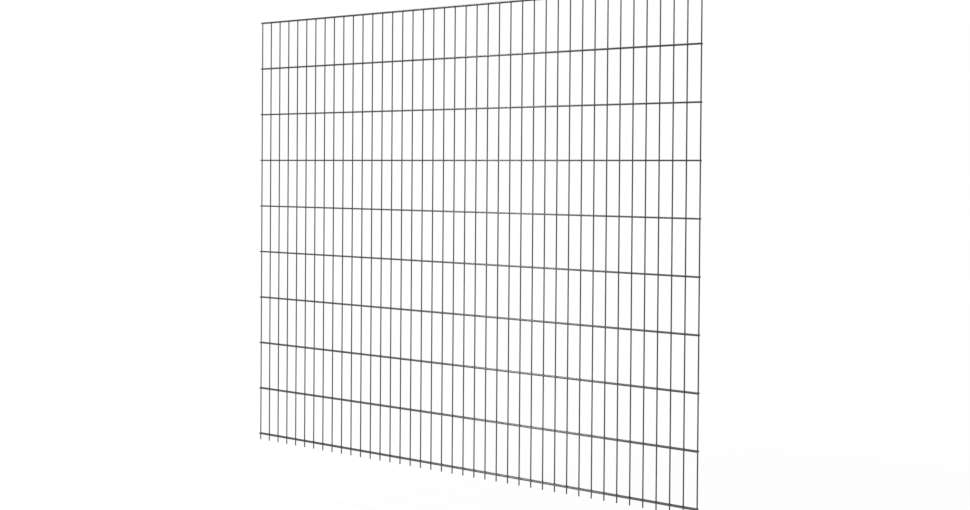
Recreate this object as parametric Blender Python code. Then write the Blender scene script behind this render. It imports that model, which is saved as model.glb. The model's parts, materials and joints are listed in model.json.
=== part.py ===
"""Welded twin-wire fence panel: a row of vertical wires between pairs of horizontal cross wires.

Metres, +Z up, +X along the panel, -Y towards the viewer. The origin is on the rear face of the
bottom rear cross wire, straight behind the first vertical wire, where the panel rests on its post.
"""

import math

import bmesh
import bpy
from mathutils import Matrix

# Cross wires, in pairs: one in front of the vertical wires and one behind them
PANEL_WIDTH = 2.006
CROSS_COUNT = 10
CROSS_PITCH = 0.200
CROSS_DIAMETER = 0.006

# Vertical wires, as many as the width holds
VERTICAL_PITCH = 0.050
VERTICAL_DIAMETER = 0.005
PRONG_LENGTH = 0.027  # below the axis of the bottom cross wires

# Welds
REAR_WELD_SINK = 0.0005  # how far the rear cross wires are pressed into the vertical wires
FRONT_SEAT_GAP = 0.0003  # between the vertical wires and the front cross wires that rest on them

# Every wire is a bar of this many flat sides, with one facing front and one facing rear
WIRE_SIDES = 8

# Dark grey powder coat
COAT_COLOUR = (0.035, 0.035, 0.035, 1.0)
COAT_ROUGHNESS = 0.25
COAT_METALLIC = 0.0

# The three layers of wires, from the rear face at y = 0 to the front
REAR_AXIS_Y = -CROSS_DIAMETER / 2
VERTICAL_AXIS_Y = REAR_AXIS_Y - CROSS_DIAMETER / 2 + REAR_WELD_SINK - VERTICAL_DIAMETER / 2
FRONT_AXIS_Y = VERTICAL_AXIS_Y - VERTICAL_DIAMETER / 2 - FRONT_SEAT_GAP - CROSS_DIAMETER / 2

# The cross wires stand out equally beyond the outermost vertical wires
VERTICAL_COUNT = math.floor((PANEL_WIDTH - VERTICAL_DIAMETER) / VERTICAL_PITCH) + 1
SIDE_OVERHANG = (PANEL_WIDTH - (VERTICAL_COUNT - 1) * VERTICAL_PITCH) / 2

# The vertical wires end flush with the top of the top cross wires
VERTICAL_LENGTH = PRONG_LENGTH + (CROSS_COUNT - 1) * CROSS_PITCH + CROSS_DIAMETER / 2

# A bar turned to run along X; its own -X axis then points up
ALONG_X = (0.0, math.radians(90.0), 0.0)


def clear_scene():
    for obj in list(bpy.data.objects):
        bpy.data.objects.remove(obj, do_unlink=True)


def make_coat(name):
    coat = bpy.data.materials.new(name)
    coat.use_nodes = True
    shader = coat.node_tree.nodes["Principled BSDF"]
    shader.inputs["Base Color"].default_value = COAT_COLOUR
    shader.inputs["Roughness"].default_value = COAT_ROUGHNESS
    shader.inputs["Metallic"].default_value = COAT_METALLIC
    return coat


def make_bar(name, diameter, length, location, rotation=(0.0, 0.0, 0.0)):
    """A straight coated bar that starts at location and runs along its own +Z axis.

    The diameter is measured across the flat sides.
    """
    half_step = math.pi / WIRE_SIDES
    corner_radius = diameter / 2 / math.cos(half_step)
    bar = bmesh.new()
    bmesh.ops.create_cone(
        bar,
        cap_ends=True,
        segments=WIRE_SIDES,
        radius1=corner_radius,
        radius2=corner_radius,
        depth=length,
        matrix=Matrix.Translation((0.0, 0.0, length / 2)) @ Matrix.Rotation(half_step, 4, "Z"),
    )
    # The sides are shaded as round, up to the sharp edges of the cut ends
    for face in bar.faces:
        face.smooth = len(face.verts) < WIRE_SIDES
    for edge in bar.edges:
        edge.smooth = all(face.smooth for face in edge.link_faces)
    mesh = bpy.data.meshes.new(name)
    bar.to_mesh(mesh)
    bar.free()
    mesh.materials.append(make_coat(f"{name}_coat"))

    obj = bpy.data.objects.new(name, mesh)
    obj.location = location
    obj.rotation_euler = rotation
    bpy.context.scene.collection.objects.link(obj)
    return obj


def repeat(obj, count, offset):
    """Turns obj into a row of copies, each this far from the last in its own axes."""
    row = obj.modifiers.new("row", "ARRAY")
    row.use_relative_offset = False
    row.use_constant_offset = True
    row.constant_offset_displace = offset
    row.count = count


def weld(obj, other):
    """Joins other into obj as one body and keeps it only as a guide."""
    union = obj.modifiers.new("weld", "BOOLEAN")
    union.operation = "UNION"
    union.solver = "EXACT"
    union.object = other
    other.hide_render = True
    other.display_type = "WIRE"


def build_rear_mesh():
    """The vertical wires with the rear cross wires welded on at every crossing."""
    rear_mesh = make_bar(
        "rear_mesh", VERTICAL_DIAMETER, VERTICAL_LENGTH, (0.0, VERTICAL_AXIS_Y, -PRONG_LENGTH)
    )
    repeat(rear_mesh, VERTICAL_COUNT, (VERTICAL_PITCH, 0.0, 0.0))
    rear_wires = make_bar(
        "rear_wires", CROSS_DIAMETER, PANEL_WIDTH, (-SIDE_OVERHANG, REAR_AXIS_Y, 0.0), ALONG_X
    )
    repeat(rear_wires, CROSS_COUNT, (-CROSS_PITCH, 0.0, 0.0))
    weld(rear_mesh, rear_wires)


def build_front_wires():
    """The front cross wires, level with the rear ones, resting on the vertical wires."""
    for level in range(CROSS_COUNT):
        make_bar(
            f"front_wire_{level + 1:02d}",
            CROSS_DIAMETER,
            PANEL_WIDTH,
            (-SIDE_OVERHANG, FRONT_AXIS_Y, level * CROSS_PITCH),
            ALONG_X,
        )


clear_scene()
build_rear_mesh()
build_front_wires()
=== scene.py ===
"""Looks of the welded twin-wire fence panel: round coated wires, their welds, and a white studio.

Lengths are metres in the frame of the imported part: +X along the panel, -Y to the front, +Z up.
"""

import json
import math
import random
from collections import namedtuple

import bmesh
import bpy
from mathutils import Matrix, Vector

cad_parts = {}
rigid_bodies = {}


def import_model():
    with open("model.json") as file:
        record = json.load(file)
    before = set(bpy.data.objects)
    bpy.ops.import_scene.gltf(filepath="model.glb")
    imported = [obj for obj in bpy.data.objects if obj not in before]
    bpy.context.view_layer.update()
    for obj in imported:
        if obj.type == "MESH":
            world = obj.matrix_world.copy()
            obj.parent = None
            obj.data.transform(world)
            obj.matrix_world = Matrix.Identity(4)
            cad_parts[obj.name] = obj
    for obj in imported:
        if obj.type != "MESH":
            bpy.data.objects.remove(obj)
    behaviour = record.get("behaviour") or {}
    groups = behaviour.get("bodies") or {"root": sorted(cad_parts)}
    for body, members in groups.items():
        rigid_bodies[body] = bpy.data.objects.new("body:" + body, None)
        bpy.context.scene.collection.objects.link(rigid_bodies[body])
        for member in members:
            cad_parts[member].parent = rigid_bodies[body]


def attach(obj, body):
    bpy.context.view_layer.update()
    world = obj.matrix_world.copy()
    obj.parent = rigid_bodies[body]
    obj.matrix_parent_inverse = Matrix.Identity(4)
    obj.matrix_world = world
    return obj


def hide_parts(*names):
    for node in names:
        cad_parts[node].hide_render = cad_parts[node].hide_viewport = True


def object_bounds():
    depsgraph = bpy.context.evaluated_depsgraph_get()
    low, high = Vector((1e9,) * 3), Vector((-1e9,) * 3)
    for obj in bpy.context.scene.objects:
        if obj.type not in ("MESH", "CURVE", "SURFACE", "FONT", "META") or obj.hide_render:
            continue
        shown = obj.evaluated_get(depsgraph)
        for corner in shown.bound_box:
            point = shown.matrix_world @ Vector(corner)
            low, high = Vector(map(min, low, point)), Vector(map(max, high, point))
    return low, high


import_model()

cad_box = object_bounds()

# Sizes that the part's solids are built to
VERTICAL_PITCH = 0.050
VERTICAL_DIAMETER = 0.005
CROSS_COUNT = 10
CROSS_PITCH = 0.200
CROSS_DIAMETER = 0.006
REAR_WELD_SINK = 0.0005
FRONT_SEAT_GAP = 0.0003

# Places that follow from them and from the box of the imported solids
CROSS_RADIUS = CROSS_DIAMETER / 2
VERTICAL_RADIUS = VERTICAL_DIAMETER / 2
REAR_AXIS_Y = -CROSS_RADIUS
VERTICAL_AXIS_Y = REAR_AXIS_Y - CROSS_RADIUS + REAR_WELD_SINK - VERTICAL_RADIUS
FRONT_AXIS_Y = VERTICAL_AXIS_Y - VERTICAL_RADIUS - FRONT_SEAT_GAP - CROSS_RADIUS
LEFT_END = cad_box[0].x
RIGHT_END = cad_box[1].x
BOTTOM_END = cad_box[0].z
TOP_END = cad_box[1].z
VERTICAL_COUNT = round((RIGHT_END + LEFT_END) / VERTICAL_PITCH) + 1

# Round wires with sheared ends
SIDES = 20
END_ROUNDING = 0.0005
END_TILT = math.radians(4.0)
END_CLEARANCE = 0.0005  # between the rings of an end and the first ring of a mark

# Marks that the welding electrodes press into the outer side of the cross wires
MARK_SHALLOWEST = 0.00006
MARK_DEEPEST = 0.00010
MARK_REACH = 0.0036  # along the wire, to each side of the middle
MARK_STATIONS = (-1.0, -0.6, -0.25, 0.0, 0.25, 0.6, 1.0)  # in shares of the reach

# Weld fillets: what a ball of this radius leaves as it rolls along the crevice between two wires
FRONT_FILLET = 0.0009
REAR_FILLET = 0.0007
FILLET_SPREAD = 0.09  # share by which a fillet is larger or smaller than the others
SWELL_LEAST = 0.045  # share by which the ball grows and shrinks on its way round
SWELL_MOST = 0.135
FILLET_STEPS_ROUND = 20
FILLET_STEPS_ACROSS = 3
FILLET_ROOT = 0.00015  # from the front of a fillet to its hidden back

# Powder coat. Each noise has a scale and a detail.
TONE_NOISE = (14.0, 3.0)
TONE_STOPS = ((0.3, 0.031), (0.7, 0.039))  # noise, grey
GLOSS_NOISE = (90.0, 2.0)
WIRE_ROUGHNESS = (0.24, 0.29)
WELD_ROUGHNESS = (0.40, 0.50)
PEEL_NOISE = (650.0, 2.0)
PEEL_STRENGTH = 0.08
PEEL_DEPTH = 0.00006

# Camera, as fitted to the crossings in the photograph
IMAGE_WIDTH = 970
IMAGE_HEIGHT = 510
SENSOR_WIDTH = 36.0
FOCAL_PIXELS = 1065.5
PRINCIPAL_ROW = 185.0
CAMERA_LOCATION = (3.2426, -3.5172, 1.1521)
CAMERA_YAW = math.radians(30.918)
CAMERA_PITCH = math.radians(-0.651)
CAMERA_ROLL = math.radians(-0.416)

# Studio
FLOOR_DROP = 0.30
FLOOR_SIZE = 60.0
FLOOR_COLOUR = 0.9
FLOOR_LIT_SHARE = 0.12  # of the light on the floor, in what the camera sees
FLOOR_GLOW_FAR = 0.985
FLOOR_GLOW_NEAR = 0.910  # under the panel, where the lamps add the rest of the white
FLOOR_GLOW_REACH = 10.0
WORLD_FILL = 0.15

# Lamps: name, place, width and height of the lit square, watts
LAMPS = (
    ("key", (-2.05, -4.00, 5.50), 0.7, 420.0),
    ("back", (1.00, 4.00, 5.50), 2.5, 80.0),
)

SEED = 41

# A ring of points round a bar: its height, how far it is drawn in, its slopes along the bar's
# own X and Y, and how deep it is pressed flat on the +X side
Ring = namedtuple("Ring", "height inset slope_x slope_y mark", defaults=(0.0, 0.0, 0.0, 0.0))


def clear_startup_objects():
    """Removes the camera, the cube and the lamp that Blender starts with."""
    for obj in list(bpy.data.objects):
        if obj.type in {"CAMERA", "LIGHT"} or obj.name == "Cube":
            bpy.data.objects.remove(obj, do_unlink=True)


def grey(level):
    return (level, level, level, 1.0)


def add_noise(nodes, links, place, noise_kind):
    """Noise in the object's own coordinates."""
    scale, detail = noise_kind
    noise = nodes.new("ShaderNodeTexNoise")
    noise.inputs["Scale"].default_value = scale
    noise.inputs["Detail"].default_value = detail
    links.new(place.outputs["Object"], noise.inputs["Vector"])
    return noise.outputs["Fac"]


def add_range(nodes, links, value, low, high):
    """Turns a value between 0 and 1 into one between low and high."""
    span = nodes.new("ShaderNodeMapRange")
    span.inputs["To Min"].default_value = low
    span.inputs["To Max"].default_value = high
    links.new(value, span.inputs["Value"])
    return span.outputs["Result"]


def make_coat(name, roughness):
    """Dark grey powder coat: uneven gloss, fine orange peel and a faint unevenness of tone."""
    coat = bpy.data.materials.new(name)
    coat.use_nodes = True
    nodes = coat.node_tree.nodes
    links = coat.node_tree.links
    shader = nodes["Principled BSDF"]
    place = nodes.new("ShaderNodeTexCoord")

    tone = nodes.new("ShaderNodeValToRGB")
    for stop, (position, level) in zip(tone.color_ramp.elements, TONE_STOPS):
        stop.position = position
        stop.color = grey(level)
    links.new(add_noise(nodes, links, place, TONE_NOISE), tone.inputs["Fac"])
    links.new(tone.outputs["Color"], shader.inputs["Base Color"])

    smoothest, roughest = roughness
    gloss_noise = add_noise(nodes, links, place, GLOSS_NOISE)
    gloss = add_range(nodes, links, gloss_noise, smoothest, roughest)
    links.new(gloss, shader.inputs["Roughness"])

    peel = nodes.new("ShaderNodeBump")
    peel.inputs["Strength"].default_value = PEEL_STRENGTH
    peel.inputs["Distance"].default_value = PEEL_DEPTH
    links.new(add_noise(nodes, links, place, PEEL_NOISE), peel.inputs["Height"])
    links.new(peel.outputs["Normal"], shader.inputs["Normal"])
    return coat


def finish_piece(name, build, coat, replaced):
    """Turns a bmesh into a coated piece that rides on the part and stands for the replaced nodes."""
    mesh = bpy.data.meshes.new(name)
    build.to_mesh(mesh)
    build.free()
    mesh.materials.append(coat)
    piece = bpy.data.objects.new(name, mesh)
    bpy.context.scene.collection.objects.link(piece)
    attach(piece, "root")
    if replaced:
        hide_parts(*replaced)


def ring_points(radius, ring):
    """The points of a ring round a bar of this radius along +Z."""
    points = []
    reach = radius - ring.inset
    for side in range(SIDES):
        angle = 2 * math.pi * side / SIDES
        x = reach * math.cos(angle)
        y = reach * math.sin(angle)
        lift = x * ring.slope_x + y * ring.slope_y
        points.append(Vector((min(x, radius - ring.mark), y, ring.height + lift)))
    return points


def add_round_bar(build, radius, rings, place):
    """A closed round bar through these rings, put in place."""
    loops = []
    for ring in rings:
        loops.append([build.verts.new(place @ point) for point in ring_points(radius, ring)])
    for low, high in zip(loops[:-1], loops[1:]):
        for side in range(SIDES):
            after = (side + 1) % SIDES
            face = build.faces.new((low[side], low[after], high[after], high[side]))
            face.smooth = True
    build.faces.new(loops[0][::-1])
    build.faces.new(loops[-1])


def random_tilt(radius):
    """Slopes of a sheared end, and how far it is drawn back to stay inside the length."""
    slope = math.tan(END_TILT * random.random())
    turn = 2 * math.pi * random.random()
    return (slope * math.cos(turn), slope * math.sin(turn)), slope * radius


def end_rings(radius, length):
    """The rings of a bar's two sheared and rounded ends, from the bottom up."""
    low_slopes, low_back = random_tilt(radius)
    high_slopes, high_back = random_tilt(radius)
    # The middle ring is at 45 degrees round the edge, this far inside both of its sides
    halfway = END_ROUNDING * (1 - math.sqrt(0.5))
    low = []
    high = []
    for depth, inset in ((0.0, END_ROUNDING), (halfway, halfway), (END_ROUNDING, 0.0)):
        low.append(Ring(low_back + depth, inset, *low_slopes))
        high.insert(0, Ring(length - high_back - depth, inset, *high_slopes))
    return low, high


def build_upright_wires(coat):
    build = bmesh.new()
    for index in range(VERTICAL_COUNT):
        low, high = end_rings(VERTICAL_RADIUS, TOP_END - BOTTOM_END)
        place = Matrix.Translation((index * VERTICAL_PITCH, VERTICAL_AXIS_Y, BOTTOM_END))
        add_round_bar(build, VERTICAL_RADIUS, low + high, place)
    finish_piece("upright_wires", build, coat, ["rear_mesh"])


def cross_rings():
    """The rings of a cross wire, with an electrode mark at every upright wire."""
    low, high = end_rings(CROSS_RADIUS, RIGHT_END - LEFT_END)
    lowest = low[-1].height + END_CLEARANCE
    highest = high[0].height - END_CLEARANCE
    between = []
    for index in range(VERTICAL_COUNT):
        middle = index * VERTICAL_PITCH - LEFT_END
        depth = random.uniform(MARK_SHALLOWEST, MARK_DEEPEST)
        for share in MARK_STATIONS:
            height = middle + share * MARK_REACH
            if lowest < height < highest:
                between.append(Ring(height, mark=depth * (1 - share * share)))
    return low + between + high


def add_cross_wire(build, axis_y, height, outward):
    """A cross wire whose marked side faces outward, -1 to the front and 1 to the rear."""
    along_x = Matrix(
        (
            (0.0, 0.0, 1.0, LEFT_END),
            (outward, 0.0, 0.0, axis_y),
            (0.0, outward, 0.0, height),
            (0.0, 0.0, 0.0, 1.0),
        )
    )
    add_round_bar(build, CROSS_RADIUS, cross_rings(), along_x)


def build_cross_wires(coat):
    rear = bmesh.new()
    for level in range(CROSS_COUNT):
        add_cross_wire(rear, REAR_AXIS_Y, level * CROSS_PITCH, 1.0)
    finish_piece("rear_cross_wires", rear, coat, ["rear_mesh"])
    for level in range(CROSS_COUNT):
        front = bmesh.new()
        add_cross_wire(front, FRONT_AXIS_Y, level * CROSS_PITCH, -1.0)
        number = f"{level + 1:02d}"
        finish_piece(f"front_cross_wire_{number}", front, coat, [f"front_wire_{number}"])


def ball_middle(turn, ball, axis_gap):
    """The middle of a ball that touches both wires, seen from the crossing on the upright's axis.

    The ball has gone round the crossing by this turn. +Y is towards the cross wire.
    """
    from_upright = VERTICAL_RADIUS + ball
    from_cross = CROSS_RADIUS + ball
    widest = math.acos((axis_gap - from_cross) / from_upright)
    swing = widest * math.sin(turn)
    x = from_upright * math.sin(swing)
    y = from_upright * math.cos(swing)
    z_square = from_cross**2 - (axis_gap - y) ** 2
    z = math.copysign(math.sqrt(max(z_square, 0.0)), math.cos(turn))
    return Vector((x, y, z))


def fillet_directions(middle, axis_gap):
    """Directions from the ball's middle, from where it touches the upright to the cross wire."""
    to_upright = -Vector((middle.x, middle.y, 0.0)).normalized()
    to_cross = -Vector((0.0, middle.y - axis_gap, middle.z)).normalized()
    angle = to_upright.angle(to_cross)
    directions = []
    for step in range(FILLET_STEPS_ACROSS + 1):
        share = step / FILLET_STEPS_ACROSS
        from_upright = to_upright * math.sin((1 - share) * angle)
        from_cross = to_cross * math.sin(share * angle)
        directions.append((from_upright + from_cross) / math.sin(angle))
    return directions


def inside_ends(centre, point, outward, margin):
    """A fillet's point in place, kept this far within the cut ends of the wires."""
    x = min(max(centre.x + point.x, LEFT_END + margin), RIGHT_END - margin)
    return x, centre.y + outward * point.y, min(centre.z + point.z, TOP_END - margin)


def add_fillet(build, centre, axis_gap, outward, fillet):
    """The ring of weld metal between an upright wire and a cross wire that crosses it.

    Its front is the surface that a ball leaves when it rolls round the crossing and touches both
    wires. Its back follows the front at the depth of the root and is hidden in the crevice.
    """
    swell = random.uniform(SWELL_LEAST, SWELL_MOST)
    phase = 2 * math.pi * random.random()
    rows = []
    for step in range(FILLET_STEPS_ROUND):
        turn = 2 * math.pi * step / FILLET_STEPS_ROUND
        ball = fillet * (1 + swell * math.sin(2 * turn + phase))
        middle = ball_middle(turn, ball, axis_gap)
        front = []
        back = []
        for direction in fillet_directions(middle, axis_gap):
            on_front = middle + direction * ball
            on_back = middle + direction * (ball + FILLET_ROOT)
            front.append(build.verts.new(inside_ends(centre, on_front, outward, 0.0)))
            back.append(build.verts.new(inside_ends(centre, on_back, outward, FILLET_ROOT / 2)))
        rows.append(front + back[::-1])
    for here, there in zip(rows, rows[1:] + rows[:1]):
        for place in range(len(here)):
            after = (place + 1) % len(here)
            corners = [here[place], here[after], there[after], there[place]]
            if outward > 0:
                corners.reverse()
            face = build.faces.new(corners)
            # The front and the back are round, and the two narrow sides between them are flat
            face.smooth = place % (FILLET_STEPS_ACROSS + 1) < FILLET_STEPS_ACROSS


def build_welds(coat):
    for name, axis_y, outward, fillet in (
        ("front_welds", FRONT_AXIS_Y, -1.0, FRONT_FILLET),
        ("rear_welds", REAR_AXIS_Y, 1.0, REAR_FILLET),
    ):
        build = bmesh.new()
        axis_gap = abs(axis_y - VERTICAL_AXIS_Y)
        for level in range(CROSS_COUNT):
            for index in range(VERTICAL_COUNT):
                centre = Vector((index * VERTICAL_PITCH, VERTICAL_AXIS_Y, level * CROSS_PITCH))
                size = fillet * random.uniform(1 - FILLET_SPREAD, 1 + FILLET_SPREAD)
                add_fillet(build, centre, axis_gap, outward, size)
        finish_piece(name, build, coat, [])


def make_camera():
    data = bpy.data.cameras.new("camera")
    data.sensor_fit = "HORIZONTAL"
    data.sensor_width = SENSOR_WIDTH
    data.lens = SENSOR_WIDTH * FOCAL_PIXELS / IMAGE_WIDTH
    data.shift_y = (PRINCIPAL_ROW - IMAGE_HEIGHT / 2) / IMAGE_WIDTH
    camera = bpy.data.objects.new("camera", data)
    level_view = Matrix.Rotation(math.radians(90.0), 4, "X")
    camera.matrix_world = (
        Matrix.Translation(CAMERA_LOCATION)
        @ Matrix.Rotation(CAMERA_YAW, 4, "Z")
        @ Matrix.Rotation(CAMERA_PITCH, 4, "X")
        @ Matrix.Rotation(CAMERA_ROLL, 4, "Y")
        @ level_view
    )
    bpy.context.scene.collection.objects.link(camera)
    bpy.context.scene.camera = camera


def seen_directly(nodes, links):
    """1 on camera, glossy and transmission rays, which see the white background."""
    path = nodes.new("ShaderNodeLightPath")
    seen = path.outputs["Is Camera Ray"]
    for ray in ("Is Glossy Ray", "Is Transmission Ray"):
        either = nodes.new("ShaderNodeMath")
        either.operation = "MAXIMUM"
        links.new(seen, either.inputs[0])
        links.new(path.outputs[ray], either.inputs[1])
        seen = either.outputs[0]
    return seen


def make_world():
    """White to the camera and in reflections, and a weak fill on every surface."""
    world = bpy.data.worlds.new("white_studio")
    bpy.context.scene.world = world
    world.use_nodes = True
    nodes = world.node_tree.nodes
    links = world.node_tree.links
    background = nodes["Background"]
    background.inputs["Color"].default_value = grey(1.0)
    strength = add_range(nodes, links, seen_directly(nodes, links), WORLD_FILL, 1.0)
    links.new(strength, background.inputs["Strength"])


def make_glow(nodes, links):
    """Light added for the camera, with less near the panel so that its shadow still shows."""
    place = nodes.new("ShaderNodeTexCoord")
    shrink = nodes.new("ShaderNodeVectorMath")
    shrink.operation = "SCALE"
    shrink.inputs["Scale"].default_value = 1 / FLOOR_GLOW_REACH
    links.new(place.outputs["Object"], shrink.inputs["Vector"])
    nearness = nodes.new("ShaderNodeTexGradient")
    nearness.gradient_type = "SPHERICAL"
    links.new(shrink.outputs["Vector"], nearness.inputs["Vector"])
    glow = nodes.new("ShaderNodeEmission")
    strength = add_range(nodes, links, nearness.outputs["Fac"], FLOOR_GLOW_FAR, FLOOR_GLOW_NEAR)
    links.new(strength, glow.inputs["Strength"])
    return glow


def make_floor_paint():
    """A pale floor, white to the camera but for a faint share of the light and shade on it."""
    paint = bpy.data.materials.new("pale_floor")
    paint.use_nodes = True
    nodes = paint.node_tree.nodes
    links = paint.node_tree.links
    nodes.clear()
    lit = nodes.new("ShaderNodeBsdfDiffuse")
    lit.inputs["Color"].default_value = grey(FLOOR_COLOUR)
    faint = nodes.new("ShaderNodeBsdfDiffuse")
    faint.inputs["Color"].default_value = grey(FLOOR_COLOUR * FLOOR_LIT_SHARE)
    white = nodes.new("ShaderNodeAddShader")
    links.new(faint.outputs[0], white.inputs[0])
    links.new(make_glow(nodes, links).outputs[0], white.inputs[1])
    mix = nodes.new("ShaderNodeMixShader")
    links.new(seen_directly(nodes, links), mix.inputs["Fac"])
    links.new(lit.outputs[0], mix.inputs[1])
    links.new(white.outputs[0], mix.inputs[2])
    output = nodes.new("ShaderNodeOutputMaterial")
    links.new(mix.outputs[0], output.inputs["Surface"])
    return paint


def make_floor():
    """The floor, some way below the panel, which hangs free as in the photograph."""
    build = bmesh.new()
    bmesh.ops.create_grid(build, x_segments=1, y_segments=1, size=FLOOR_SIZE / 2)
    mesh = bpy.data.meshes.new("floor")
    build.to_mesh(mesh)
    build.free()
    mesh.materials.append(make_floor_paint())
    floor = bpy.data.objects.new("floor", mesh)
    floor.location = ((LEFT_END + RIGHT_END) / 2, 0.0, BOTTOM_END - FLOOR_DROP)
    bpy.context.scene.collection.objects.link(floor)


def make_lights():
    """The lamps, all aimed at the middle of the panel."""
    middle = Vector(((LEFT_END + RIGHT_END) / 2, 0.0, (BOTTOM_END + TOP_END) / 2))
    for name, place, size, power in LAMPS:
        data = bpy.data.lights.new(name, "AREA")
        data.shape = "SQUARE"
        data.size = size
        data.energy = power
        lamp = bpy.data.objects.new(name, data)
        lamp.location = place
        aim = middle - Vector(place)
        lamp.rotation_euler = aim.to_track_quat("-Z", "Y").to_euler()
        lamp.visible_camera = False
        bpy.context.scene.collection.objects.link(lamp)


random.seed(SEED)
clear_startup_objects()
wire_coat = make_coat("dark_grey_powder_coat", WIRE_ROUGHNESS)
weld_coat = make_coat("powder_coat_over_welds", WELD_ROUGHNESS)
build_upright_wires(wire_coat)
build_cross_wires(wire_coat)
build_welds(weld_coat)
make_camera()
make_world()
make_floor()
make_lights()
bpy.context.scene.view_settings.view_transform = "Standard"
